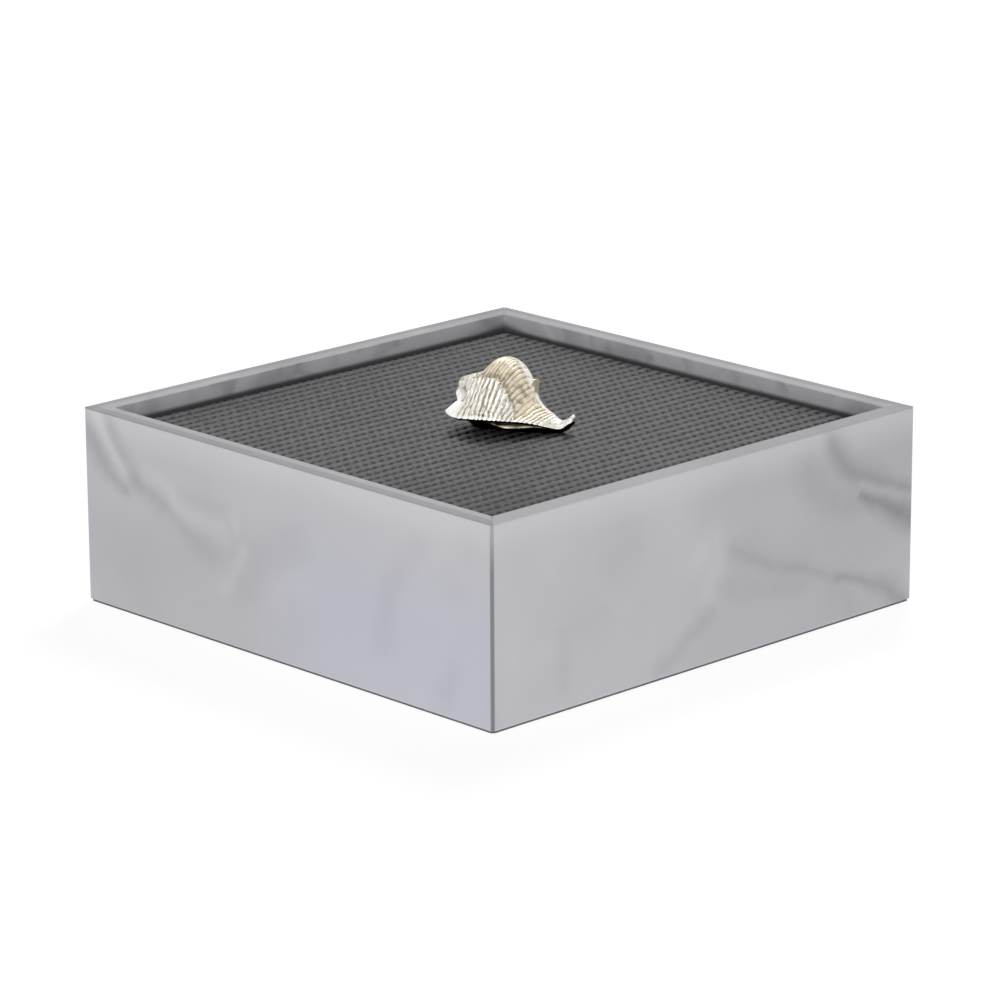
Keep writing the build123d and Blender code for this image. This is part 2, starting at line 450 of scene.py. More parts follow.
@dataclass(frozen=True)
class MarbleFinish:
    """Honed pale grey marble with smoky veins.

    Attributes:
        cool: The pale grey of most of the stone.
        warm: The plainer grey that it drifts to.
        bloom: Its lilac bloom.
        dark: The grey inside a dark vein.
        light: The tone of a light wisp, also painted as light on the tops of the outer faces, on the lower
            half of each face and on the inner half of the rim.
        white: The tone of a white one, which only an inner face shows.
        deep: The tone that a wall's far end drifts to, and the painted shade on the outer half of the rim.
        arris: The dark grey painted on the narrow flats at the upright corners as their dark reflection.
        clean: The palest stone, painted on the inner faces above the lid as light, strongest near the top.
        rubbed: The painted shade along the foot of the inner faces, just above the lid.
        wander: How far the veins stray from their drawn line, in metres.
        waver: How far they stray over short lengths, in metres.
        spread: How much wider a vein's soft skirt is than its core.
        softness: How quickly a vein fades from its core.
        sharpness: How quickly its thin middle does.
        wanders, wavers: The noises that the veins stray by.
        drift, clouds, wisps: The noises of the stone, from coarse to fine.
        blots: The noise of the inner faces.
    """

    cool: Colour = (0.635, 0.632, 0.672)
    warm: Colour = (0.580, 0.577, 0.606)
    bloom: Colour = (0.612, 0.620, 0.715)
    dark: Colour = (0.270, 0.270, 0.292)
    light: Colour = (0.800, 0.805, 0.825)
    white: Colour = (0.990, 0.990, 1.000)
    deep: Colour = (0.300, 0.298, 0.312)
    arris: Colour = (0.180, 0.181, 0.195)
    clean: Colour = (0.900, 0.900, 0.925)
    rubbed: Colour = (0.060, 0.060, 0.066)
    wander: float = 22.0 * MM
    waver: float = 6.6 * MM
    spread: float = 2.3
    softness: float = 1.25
    sharpness: float = 7.0
    wanders: Grain = Grain(11.0, 2.0, 0.5)
    wavers: Grain = Grain(40.0, 2.0, 0.5)
    drift: Grain = Grain(7.0, 3.0, 0.5, 0.6)
    clouds: Grain = Grain(19.0, 3.0, 0.5, 0.7)
    wisps: Grain = Grain(60.0, 4.0, 0.6, 1.0)
    blots: Grain = Grain(48.0, 2.0, 0.5, 0.5)

    def draw(self, bench: FinishBench, point: Wire, vein: Vein, size: Place) -> Wire:
        """Draw one vein.

        Args:
            bench: The material's bench.
            point: The wandering place on the slab, in metres.
            vein: The vein.
            size: The slab's length and height, in metres.

        Returns:
            How strong it is at each place.
        """
        spots = [(x * PER_MILLE * size[0], y * PER_MILLE * size[1]) for x, y in vein.path]
        first, last = (width * MM * self.spread for width in vein.widths)
        grow = (last - first) / (len(spots) - 1)
        whole = bench.most([bench.run(point, *ends, (first + grow * index, first + grow * (index + 1)))
                            for index, ends in enumerate(zip(spots, spots[1:]))])
        toned = whole ** self.softness * vein.strength
        return toned + whole ** self.sharpness * vein.core if vein.core else toned

    def material(self, name: str, face: Face, look: SlabLook, case: "MarbleCase") -> bpy.types.Material:
        """Make the finish of one slab.

        Args:
            name: The material's name.
            face: The wall, which says how its length runs.
            look: How its stone varies.
            case: The case, whose sizes place what follows an edge.

        Returns:
            The material.
        """
        bench = FinishBench(name)
        span = bench.span
        x, y, level = bench.axes()
        axis, sign = face.value[1:]
        lengthways, crossways = (x, y) if axis == "X" else (y, x)
        half, inner, height, skin = case.side / 2, case.side / 2 - case.wall, case.height, case.skin
        size = (case.side, height)
        along, across = lengthways * sign + half, abs(crossways)
        ends = abs(along - half)
        point = bench.point(along, level)
        for grain, reach in ((self.wanders, self.wander), (self.wavers, self.waver)):
            stray = bench.vector("SUBTRACT", bench.noise(grain, "Color"), (0.5, 0.5, 0.5))
            point = bench.vector("MULTIPLY_ADD", stray, (reach, reach, 0.0), point)
        drift, clouds, wisps = (bench.noise(grain) for grain in (self.drift, self.clouds, self.wisps))
        blots = bench.noise(self.blots)
        outside = span(across, half - skin, half - skin / 2)
        inside = span(across, inner + skin, inner + skin / 2)
        top = span(level, height - skin, height - skin / 2)
        smoke = span(wisps, 0.15, 0.65, 0.50, 1.0)
        pale, far = case.side * look.pale_end, case.side * (1.0 - look.pale_end)
        lilac = span(along, (pale + 2.0 * far) / 3.0, (2.0 * pale + far) / 3.0)
        # Where the painted shade along the foot of the inner faces stops, higher near the corners
        foot_shade_top = span(ends, inner - 8.0 * case.rub, inner, case.lid_level + case.rub,
                       case.lid_level + 2.2 * case.rub)
        flat = span(ends, half - case.corner_flat * 1.05, half - case.corner_flat * 0.85, 0.0, 0.85)
        # Coats of colour, each laid over those before it
        coats = [
            (self.warm, span(drift, 0.34, 0.68)),
            (self.dark, span(clouds, 0.52, 0.80, 0.0, 0.09)),
            (self.light, span(clouds, 0.44, 0.22, 0.0, 0.12)),
            (self.bloom, lilac, span(level, height * 0.85, height * 0.35, 0.0, look.lilac)),
            (self.deep, span(along, 0.95 * pale + 0.05 * far, far, 0.0, look.fade)),
            # Painted light on the upper fifth of the outer faces
            (self.light, outside, span(level, height * 0.80, height, 0.0, 0.40)),
            # Painted light on the lower half of each face, strongest at the bottom
            (self.light, span(level, height * 0.5, 0.0, 0.0, 0.15)),
            # Painted light on the inner faces above the lid, strongest near the top
            (self.clean, inside, span(level, case.lid_level, height, 0.70, 1.0)),
            (self.dark, inside, span(blots, 0.52, 0.74, 0.0, 0.40)),
            (self.bloom, inside, span(blots, 0.48, 0.30, 0.0, 0.60)),
        ]
        for tone, colour, where in ((Tone.DARK, self.dark, smoke), (Tone.LIGHT, self.light, smoke),
                                    (Tone.WHITE, self.white, inside)):
            drawn = [self.draw(bench, point, vein, size) for vein in look.veins if vein.tone is tone]
            if drawn:
                coats.append((colour, bench.most(drawn), where))
        edge = (across - half) / -case.wall
        coats += [
            # Painted shade on the outer half of the rim's top, and a little painted light on its inner half
            (self.deep, top, span(edge, 0.60, 0.40, 0.0, look.streak)),
            (self.light, top, span(edge, 0.50, 0.75, 0.0, look.streak * 0.2)),
            # Painted shade along the foot of the inner faces, just above the lid
            (self.rubbed, inside, span(level, foot_shade_top, case.lid_level, 0.0, 0.9)),
            # Painted dark reflection on the narrow flats at the upright corners, weaker near the top
            (self.arris, flat, span(level, height, height * 0.72, 0.50, 1.0)),
        ]
        stone: Any = self.cool
        for colour, *shares in coats:
            stone = bench.layer(stone, colour, *shares)
        bench.dress(Base_Color=stone, Roughness=span(clouds, 0.3, 0.7, 0.42, 0.50), Specular_IOR_Level=0.28)
        bench.bump(wisps, 0.04 * MM, 0.25)
        return bench.material


@dataclass(frozen=True)
class LeatherFinish:
    """Black leather pressed with a woven pattern, mottled on its pads, with painted shade in its pits,
    between its rows and toward the front.

    Attributes:
        pad: The leather between the pits.
        hollow: The near-black painted shade at the bottom of a pit.
        pit_shade: How far a pit is darkened by painted shade.
        furrow_shade: How far the line between two rows is darkened by painted shade.
        slant: How far the paler and darker bands between the pits, painted as the shade of a slanting
            groove, slip from row to row.
        band: How strong those bands are.
        mottling: How strong the mottle is.
        grain, mottle, hide: The noises of the leather, from fine to coarse.
    """

    pad: Colour = (0.150, 0.150, 0.156)
    hollow: Colour = (0.004, 0.004, 0.005)
    pit_shade: float = 0.95
    furrow_shade: float = 0.40
    slant: float = 0.55
    band: float = 0.045
    mottling: float = 1.6
    grain: Grain = Grain(1500.0, 3.0, 0.6)
    mottle: Grain = Grain(400.0, 3.0, 0.6)
    hide: Grain = Grain(40.0, 3.0, 0.5)

    def material(self, lid: "LeatherLid") -> bpy.types.Material:
        """Make the leather, shaded where the lid's mesh is pressed.

        Args:
            lid: The lid, whose pattern it follows.

        Returns:
            The material.
        """
        bench = FinishBench("pressed_leather")
        span = bench.span
        x, y, _ = bench.axes()
        dash, row, along, gap = lid.cell(x, y, partial(bench.math, "SINE"))
        pit = bench.run(bench.point(along, gap), lid.pit_start, lid.pit_end, lid.pit_widths)
        # Painted shade in the pits and along the line between rows
        pressed = pit * self.pit_shade + span(abs(gap), lid.furrow_reach, 0.0, 0.0, self.furrow_shade)
        # Painted shade of a slanting groove across each pad, as paler and darker bands
        between = bench.math("COSINE", (dash - row * self.slant) * TURN)
        grain, mottle, hide = (bench.noise(item) for item in (self.grain, self.mottle, self.hide))
        plain = span(hide, 0.25, 0.75, 0.68, 0.82) - pressed + between * self.band
        rubbed = bench.math("MULTIPLY_ADD", mottle - 0.5, self.mottling, plain, clamp=True)
        # Painted shade: the leather darkens toward the front, and its shine drops there and in the pits
        nearer = (x + y) / lid.half
        rubbed = rubbed * span(nearer, -2.0, -0.6, 0.62, 1.0)
        shine = span(rubbed, 0.0, 0.8, 0.215, 0.30) * span(nearer, -2.0, -0.4, 0.84, 1.0)
        bench.dress(Base_Color=bench.layer(self.hollow, self.pad, rubbed),
                    Roughness=span(grain, 0.3, 0.7, 0.46, 0.60), Specular_IOR_Level=shine)
        bench.bump(grain, 0.12 * MM, 0.35)
        return bench.material


@dataclass(frozen=True)
class CastMetalFinish:
    """Pale champagne casting: polished crests with painted highlights, satin warm hump, dull grooves with
    some painted shade, and a mouth blackened by patina and painted shade.

    Attributes:
        silver: The satin silver of the ribbed lip.
        bright: The polished metal on the crests, also painted as highlights on the lip's edge, the ridge's
            edge, the horn, the flank and the tip.
        champagne: The warm metal of the hump.
        hollow: The dull metal in the grooves, also painted as shade behind the ridge, on the spine's front
            and at a notch near the spire.
        soot: The metal inside the mouth, blackened as patina and darkened further as painted shade under the
            lip.
        grain, worn, stain: The noises of the metal, from fine to coarse.
    """

    silver: Colour = (0.765, 0.735, 0.675)
    bright: Colour = (0.970, 0.958, 0.930)
    champagne: Colour = (0.735, 0.640, 0.475)
    hollow: Colour = (0.310, 0.266, 0.190)
    soot: Colour = (0.016, 0.014, 0.012)
    grain: Grain = Grain(900.0, 3.0, 0.55)
    worn: Grain = Grain(420.0, 3.0, 0.6)
    stain: Grain = Grain(260.0, 3.0, 0.6)

    def material(self) -> bpy.types.Material:
        """Make the metal, which reads the warmth, the dulling with its painted shade and the polish with its
        painted highlights that the mesh carries.

        Returns:
            The material.
        """
        bench = FinishBench("cast_champagne_metal")
        span = bench.span
        grain, worn, stain = (bench.noise(item) for item in (self.grain, self.worn, self.stain))
        warm = bench.attribute("warmth") * span(stain, 0.2, 0.7, 0.6, 1.0)
        polish_and_highlight = bench.attribute("polish_and_highlight") * span(worn, 0.30, 0.60, 0.15, 1.0)
        dull_and_shade = bench.attribute("dull_and_shade")
        metal: Any = self.silver
        # Coats over the silver: warm hump, polish with painted highlights, groove dulling with painted
        # shade, and the mouth's patina darkened further as painted shade
        for colour, share in ((self.champagne, warm), (self.bright, polish_and_highlight),
                              (self.hollow, span(dull_and_shade, 0.0, GROOVE_DULL)),
                              (self.soot, span(dull_and_shade, GROOVE_DULL, 1.0))):
            metal = bench.layer(metal, colour, share)
        rough = warm * 0.12 + span(grain, 0.2, 0.8, 0.24, 0.36) - polish_and_highlight * 0.06
        bench.dress(Base_Color=metal, Metallic=1.0, Roughness=rough)
        bench.bump(grain, 0.10 * MM, 0.35)
        return bench.material


@dataclass(frozen=True)
class ClothFinish:
    """A soft nap, for the suede lining and the felt underneath.

    Attributes:
        name: The material's name.
        deep: The colour between the fibres.
        lit: The colour where the nap stands up.
        scale: Fibres in each metre.
        sheen: How strong the nap's soft edge light is.
        brushed: The noise of the brushed patches.
    """

    name: str
    deep: Colour
    lit: Colour
    scale: float
    sheen: float
    brushed: Grain = Grain(22.0, 3.0, 0.55, 0.7)

    def material(self) -> bpy.types.Material:
        """Make the cloth.

        Returns:
            The material.
        """
        bench = FinishBench(self.name)
        nap = bench.noise(Grain(self.scale, 4.0, 0.7))
        shares = bench.span(nap, 0.25, 0.75), bench.span(bench.noise(self.brushed), 0.25, 0.75, 0.45, 1.0)
        bench.dress(Base_Color=bench.layer(self.deep, self.lit, *shares), Roughness=0.95,
                    Specular_IOR_Level=0.15, Sheen_Weight=self.sheen, Sheen_Roughness=0.4)
        bench.bump(nap, 0.25 * MM, 0.5)
        return bench.material


@dataclass(frozen=True)
class PlainFinish:
    """A speckled plain finish, for card, board and screws.

    Attributes:
        name: The material's name.
        first: One of its two colours.
        second: The other.
        scale: Speckles in each metre.
        rough: Its roughness.
        metallic: Whether it is a metal.
    """

    name: str
    first: Colour
    second: Colour
    scale: float
    rough: float
    metallic: float = 0.0

    def material(self) -> bpy.types.Material:
        """Make the finish.

        Returns:
            The material.
        """
        bench = FinishBench(self.name)
        speck = bench.noise(Grain(self.scale, 4.0, 0.65))
        bench.dress(Base_Color=bench.layer(self.first, self.second, bench.span(speck, 0.3, 0.7)),
                    Roughness=bench.span(speck, 0.2, 0.8, self.rough * 0.85, self.rough),
                    Metallic=self.metallic)
        bench.bump(speck, 0.05 * MM, 0.3)
        return bench.material


def coat(node: str, material: bpy.types.Material) -> None:
    """Give a carried-over solid its finish.

    Args:
        node: The solid's node.
        material: Its finish.
    """
    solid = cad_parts[node]
    if not solid.material_slots:
        solid.data.materials.append(material)
    for place in solid.material_slots:
        place.material = material
    log.info("finished %s with %s", node, material.name)


def settle(name: str, shape: bmesh.types.BMesh, material: bpy.types.Material) -> bpy.types.Object:
    """Turn a finished bmesh into an object at the origin, smooth shaded.

    Args:
        name: The piece's name.
        shape: Its mesh, which is freed.
        material: Its finish.

    Returns:
        The new object.
    """
    bmesh.ops.recalc_face_normals(shape, faces=shape.faces)
    for face in shape.faces:
        face.smooth = True
    mesh = bpy.data.meshes.new(name)
    shape.to_mesh(mesh)
    shape.free()
    mesh.materials.append(material)
    piece = bpy.data.objects.new(name, mesh)
    bpy.context.scene.collection.objects.link(piece)
    return piece


# The veins of each wall, as they run in the photograph or, on the far walls, as they might
DARK, LIGHT, WHITE = Tone.DARK, Tone.LIGHT, Tone.WHITE
LEFT_VEINS = (
    Vein(DARK, 0.34, (7.0, 4.0), ((8, 900), (35, 810), (65, 715), (105, 640)), 0.06),
    Vein(DARK, 0.36, (5.0, 5.6), ((70, 960), (92, 850), (122, 740), (148, 680), (205, 625)), 0.10),
    Vein(DARK, 0.15, (5.4, 5.6), ((200, 630), (265, 535), (325, 450)), 0.05),
    Vein(DARK, 0.11, (4.0, 3.4), ((255, 735), (325, 705), (365, 705))),
    Vein(DARK, 0.08, (9.0, 7.0), ((400, 360), (467, 507), (517, 606), (545, 660))),
    Vein(DARK, 0.11, (7.0, 5.6), ((735, 285), (748, 410), (756, 530), (792, 655), (835, 745))),
    Vein(DARK, 0.12, (6.0, 5.2), ((884, 115), (900, 185))),
    Vein(DARK, 0.06, (6.4, 5.6), ((905, 660), (930, 610))),
    Vein(DARK, 0.08, (16.0, 12.0), ((20, 170), (70, 230))),
    Vein(LIGHT, 0.34, (5.2, 4.0), ((35, 1000), (62, 910), (83, 815), (106, 745)), 0.12),
    Vein(LIGHT, 0.20, (4.6, 5.0), ((160, 735), (250, 655), (292, 620), (345, 590))),
    Vein(LIGHT, 0.17, (3.0, 2.6), ((376, 690), (386, 620))),
    Vein(LIGHT, 0.22, (4.0, 3.4), ((362, 285), (383, 395), (405, 505))),
    Vein(LIGHT, 0.16, (8.0, 7.0), ((500, 330), (545, 430))),
)
FRONT_VEINS = (
    Vein(DARK, 0.40, (6.4, 3.6), ((800, 905), (835, 800), (885, 725), (935, 650), (992, 580)), 0.20),
    Vein(DARK, 0.64, (3.6, 6.0), ((882, 630), (925, 556), (960, 495), (1000, 425)), 0.20),
    Vein(DARK, 0.24, (8.0, 6.0), ((742, 800), (767, 715), (810, 645), (867, 625), (905, 600))),
    Vein(DARK, 0.20, (3.6, 3.4), ((550, 525), (600, 455), (660, 395), (735, 335), (800, 260)), 0.08),
    Vein(DARK, 0.34, (3.4, 5.6), ((800, 260), (867, 212), (917, 150), (958, 55), (985, 0)), 0.18),
    Vein(DARK, 0.11, (5.0, 4.0), ((533, 360), (583, 298), (635, 284), (717, 260))),
    Vein(DARK, 0.20, (4.6, 3.6), ((365, 50), (408, 100), (450, 185), (493, 236))),
    Vein(DARK, 0.10, (7.0, 6.0), ((808, 236), (835, 150), (842, 80))),
    Vein(DARK, 0.11, (4.0, 3.4), ((155, 140), (158, 285), (155, 385))),
    Vein(DARK, 0.06, (6.0, 5.0), ((195, 430), (230, 500))),
    Vein(DARK, 0.06, (5.0, 4.0), ((75, 335), (110, 385))),
    Vein(DARK, 0.07, (8.0, 7.0), ((280, 690), (320, 770))),
    Vein(LIGHT, 0.24, (8.0, 6.6), ((465, 530), (500, 555), (508, 435), (490, 360))),
    Vein(LIGHT, 0.12, (2.0, 1.6), ((880, 690), (925, 615), (975, 545))),
    Vein(LIGHT, 0.14, (8.0, 6.0), ((60, 340), (140, 300))),
)
REAR_VEINS = (
    Vein(DARK, 0.40, (7.0, 4.4), ((50, 980), (120, 860), (215, 800), (330, 660))),
    Vein(DARK, 0.30, (4.6, 6.0), ((420, 420), (520, 330), (640, 300), (740, 140))),
    Vein(DARK, 0.34, (7.0, 5.0), ((560, 1000), (610, 900), (650, 850))),
    Vein(DARK, 0.34, (5.0, 5.0), ((885, 960), (930, 880), (985, 830))),
    Vein(LIGHT, 0.50, (4.4, 3.6), ((240, 980), (300, 900), (360, 870))),
    Vein(LIGHT, 0.46, (5.0, 5.0), ((700, 1000), (760, 930), (840, 920))),
    Vein(LIGHT, 0.30, (6.0, 4.0), ((150, 300), (260, 240), (350, 260))),
)
RIGHT_VEINS = (
    Vein(DARK, 0.40, (6.4, 5.0), ((80, 940), (160, 790), (270, 700), (380, 690))),
    Vein(DARK, 0.28, (5.0, 6.2), ((520, 200), (630, 300), (760, 350), (900, 480))),
    Vein(DARK, 0.34, (7.0, 5.0), ((610, 980), (680, 900), (730, 820))),
    Vein(WHITE, 0.80, (1.8, 2.4), ((885, 1100), (825, 960), (761, 815)), 0.60),
    Vein(LIGHT, 0.50, (5.0, 4.0), ((330, 1000), (380, 960), (400, 900))),
    Vein(LIGHT, 0.40, (4.0, 4.0), ((190, 990), (220, 940), (215, 890))),
    Vein(LIGHT, 0.30, (7.0, 5.0), ((420, 520), (560, 560), (660, 520))),
)
LOOKS = {
    Face.FRONT: SlabLook(FRONT_VEINS, pale_end=0.0, fade=0.27),
    Face.RIGHT: SlabLook(RIGHT_VEINS, pale_end=0.0, fade=0.15, streak=0.40),
    Face.REAR: SlabLook(REAR_VEINS, pale_end=1.0, fade=0.15, streak=0.40),
    Face.LEFT: SlabLook(LEFT_VEINS, pale_end=1.0, fade=0.13, lilac=0.8, streak=0.50),
}


@dataclass
class MarbleCase:
    """The four mitred walls, their seams, the bottom slab and the felt under it.

    Attributes:
        side: The case's width and depth.
        height: Its height.
        wall: The thickness of its walls.
        corner_flat: How far the flats at its upright corners are set back.
        lid_level: The level of the lid's top.
        rub: How high the painted shade above the lid reaches.
        skin: How near a point is to a face that it counts as on it.
        felt: The finish of the felt.
    """

    side: float = 270.0 * MM
    height: float = 93.0 * MM
    wall: float = 10.0 * MM
    corner_flat: float = 1.4 * MM
    lid_level: float = 84.5 * MM
    rub: float = 2.4 * MM
    skin: float = 0.5 * MM
    felt: ClothFinish = ClothFinish("base_felt", (0.110, 0.109, 0.110), (0.230, 0.228, 0.230), 1800.0, 0.2)

    def build(self) -> None:
        """Dress the solids of the case."""
        stone = MarbleFinish()
        for face, look in LOOKS.items():
            coat(face.value[0], stone.material("marble_" + face.value[0], face, look, self))
        for node, name in (("base_slab", "marble_base"), ("corner_seams", "marble_seams")):
            coat(node, stone.material(name, Face.FRONT, SlabLook(), self))
        coat("base_felt", self.felt.material())


@dataclass
class Lining:
    """The card and suede inside the case and under the lid.

    Attributes:
        suede: The finish of the suede.
        card: The finish of the card.
    """

    suede: ClothFinish = ClothFinish("lining_suede", (0.06, 0.06, 0.066), (0.15, 0.15, 0.16), 2400.0, 0.35)
    card: PlainFinish = PlainFinish("grey_card", (0.30, 0.29, 0.27), (0.40, 0.385, 0.36), 500.0, 0.9)

    def build(self) -> None:
        """Dress the solids of the lining."""
        suede, card = self.suede.material(), self.card.material()
        for side in ("front", "right", "rear", "left"):
            coat("lining_suede_" + side, suede)
            coat("lining_card_" + side, card)
        for node in ("floor_suede", "lid_suede"):
            coat(node, suede)
        for node in ("floor_card", "lid_filler_card"):
            coat(node, card)


@dataclass
class LeatherLid:
    """The lid's panel and the pressed leather drawn over it.

    Attributes:
        half: Half the lid's width over the leather.
        top: The level of the leather's crests.
        foot: The level of the leather's underside.
        board_half: Half the panel's width.
        board_top: The level of the panel's top.
        board_foot: The level of the panel's underside.
        corner: The radius of the lid's corners in plan.
        least_corner: The least radius of an outline set in from it.
        edge: The radius of the leather's bend over the panel's edge.
        bend_steps: How many steps that bend has.
        chamfer: The softening of its lower edge.
        turn_in: How far it is turned in underneath.
        row_pitch: The distance between the pattern's rows.
        dash_pitch: The distance between the pits along a row.
        furrow: The depth of the line between two rows.
        furrow_reach: Half the width of that line.
        pit: The further depth of a pit.
        pit_start: Where a pit starts, from its cell's middle.
        pit_end: Where it ends.
        pit_widths: Half its width at both ends.
        slip: How far the rows slip along each other, in shares of the dash pitch.
        sway: How quickly that slip changes from row to row.
        margin: How far in from the bend the pattern reaches its full depth.
        edge_press: The share of its depth that it has at the bend.
        across, down: How many steps the grid of the top has each way.
        panel: The finish of the panel.
    """

    half: float = 123.0 * MM
    top: float = 84.5 * MM
    foot: float = 76.2 * MM
    board_half: float = 121.6 * MM
    board_top: float = 83.1 * MM
    board_foot: float = 77.1 * MM
    corner: float = 3.0 * MM
    least_corner: float = 0.2 * MM
    edge: float = 1.2 * MM
    bend_steps: int = 5
    chamfer: float = 0.45 * MM
    turn_in: float = 14.0 * MM
    row_pitch: float = 6.42 * MM
    dash_pitch: float = 4.95 * MM
    furrow: float = 0.40 * MM
    furrow_reach: float = 2.3 * MM
    pit: float = 0.65 * MM
    pit_start: Place = (-1.7 * MM, -0.8 * MM)
    pit_end: Place = (1.1 * MM, 0.9 * MM)
    pit_widths: Place = (0.85 * MM, 1.5 * MM)
    slip: float = 0.07
    sway: float = 2.7
    margin: float = 1.0 * MM
    edge_press: float = 0.35
    across: int = 280
    down: int = 296
    panel: PlainFinish = PlainFinish("lid_panel", (0.33, 0.235, 0.145), (0.42, 0.31, 0.20), 300.0, 0.85)

    def cell(self, x: Any, y: Any, sine: Callable[[Any], Any]) -> tuple[Any, Any, Any, Any]:
        """Where a place lies in the pattern, for plain numbers or for a material's.

        Args:
            x: Its place across the lid.
            y: Its place along the lid.
            sine: The sine of such a number.

        Returns:
            Its dash and its row, counted from the lid's middle, and its place from the middle of its cell.
        """
        row = y / self.row_pitch
        line = round(row)
        dash = x / self.dash_pitch + sine(line * self.sway) * self.slip
        return dash, row, (dash - round(dash)) * self.dash_pitch, (row - line) * self.row_pitch

    def pressed(self, x: float, y: float) -> float:
        """How deep the pattern is pressed at a place on the lid, in metres.

        Args:
            x: The place across the lid.
            y: The place along the lid.

        Returns:
            The depth.
        """
        _, _, along, gap = self.cell(x, y, math.sin)
        depth = self.furrow * (1.0 - smooth(abs(gap), 0.0, self.furrow_reach))
        depth += self.pit * taper((along, gap), self.pit_start, self.pit_end, self.pit_widths)
        ease = smooth(self.half - max(abs(x), abs(y)), self.edge, self.edge + self.margin)
        return depth * (self.edge_press + (1.0 - self.edge_press) * ease)

    def plan(self, x: float, y: float, inset: float) -> Place:
        """A point of a square in plan, eased onto the lid's rounded outline.

        Args:
            x: Its place across, from -1 to 1.
            y: Its place along, from -1 to 1.
            inset: How far the outline is set in from the lid's edge.

        Returns:
            The point, in metres.
        """
        half, radius = self.half - inset, max(self.corner - inset, self.least_corner)
        spot = [x * half, y * half]
        over = [max(abs(value) - (half - radius), 0.0) for value in spot]
        if min(over) > 0.0:
            pull = max(over) / math.hypot(*over)
            spot = [math.copysign(half - radius + part * pull, value) for part, value in zip(over, spot)]
        return spot[0], spot[1]

    def skin(self) -> bmesh.types.BMesh:
        """Model the leather: pressed top, bent edge, turned-in underside and its inner face.

        Returns:
            The closed mesh.
        """
        shape = bmesh.new()
        square = shape.verts.layers.float_vector.new("square")
        bmesh.ops.create_grid(shape, x_segments=self.across, y_segments=self.down, size=1.0)
        rim = [edge for edge in shape.edges if edge.is_boundary]

        def lay(verts: list[bmesh.types.BMVert], inset: float, level: float, share: float) -> None:
            """Put vertices at an inset and a level, pressed by a share of the pattern's depth."""
            for vert in verts:
                x, y = self.plan(*vert[square][:2], inset)
                vert.co = (x, y, level - self.pressed(x, y) * share)

        for vert in shape.verts:
            vert[square] = vert.co
        lay(list(shape.verts), self.edge, self.top, 1.0)
        turns = [math.radians(90.0 * step / self.bend_steps) for step in range(1, self.bend_steps + 1)]
        steps = [(self.edge * (1.0 - math.sin(turn)), self.top - self.edge * (1.0 - math.cos(turn)))
                 for turn in turns]
        sheet = self.half - self.board_half
        steps += [(0.0, self.foot + self.chamfer), (self.chamfer, self.foot), (self.turn_in, self.foot),
                  (self.turn_in, self.board_foot), (sheet, self.board_foot), (sheet, self.board_top)]
        for index, (inset, level) in enumerate(steps):
            made = bmesh.ops.extrude_edge_only(shape, edges=rim)["geom"]
            fresh = [item for item in made if isinstance(item, bmesh.types.BMVert)]
            lay(fresh, inset, level, max(0.0, 1.0 - index / (self.bend_steps - 1)))
            rim = [item for item in made if isinstance(item, bmesh.types.BMEdge)]
        bmesh.ops.edgeloop_fill(shape, edges=rim)
        shape.verts.layers.float_vector.remove(square)
        return shape

    def build(self) -> None:
        """Dress the panel and put the pressed leather in place of its plain solid."""
        coat("lid_board", self.panel.material())
        piece = settle("lid_leather_pressed", self.skin(), LeatherFinish().material(self))
        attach(piece, "lid")
        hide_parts("lid_leather")
        log.info("built %s", piece.name)


# Where the points of a section's back and mouth stand along its line
BACK_TURNS = [0.0, 0.15, 0.32, 0.50, 0.66, 0.79, 0.90, 1.0]
MOUTH_TURNS = [0.0, 0.30, 0.52, 0.66, 0.76, 0.85, 0.95, 1.0]
# The ridge where the lip was laid over the hump: its places along the axis, and round the back
RIDGE_SHARES = [0.09, 0.15, 0.21, 0.37, 0.48, 0.55, 0.60, 0.64, 0.68, 0.72]
RIDGE_TURNS = [0.30, 0.36, 0.37, 0.31, 0.315, 0.30, 0.265, 0.22, 0.09, -0.06]
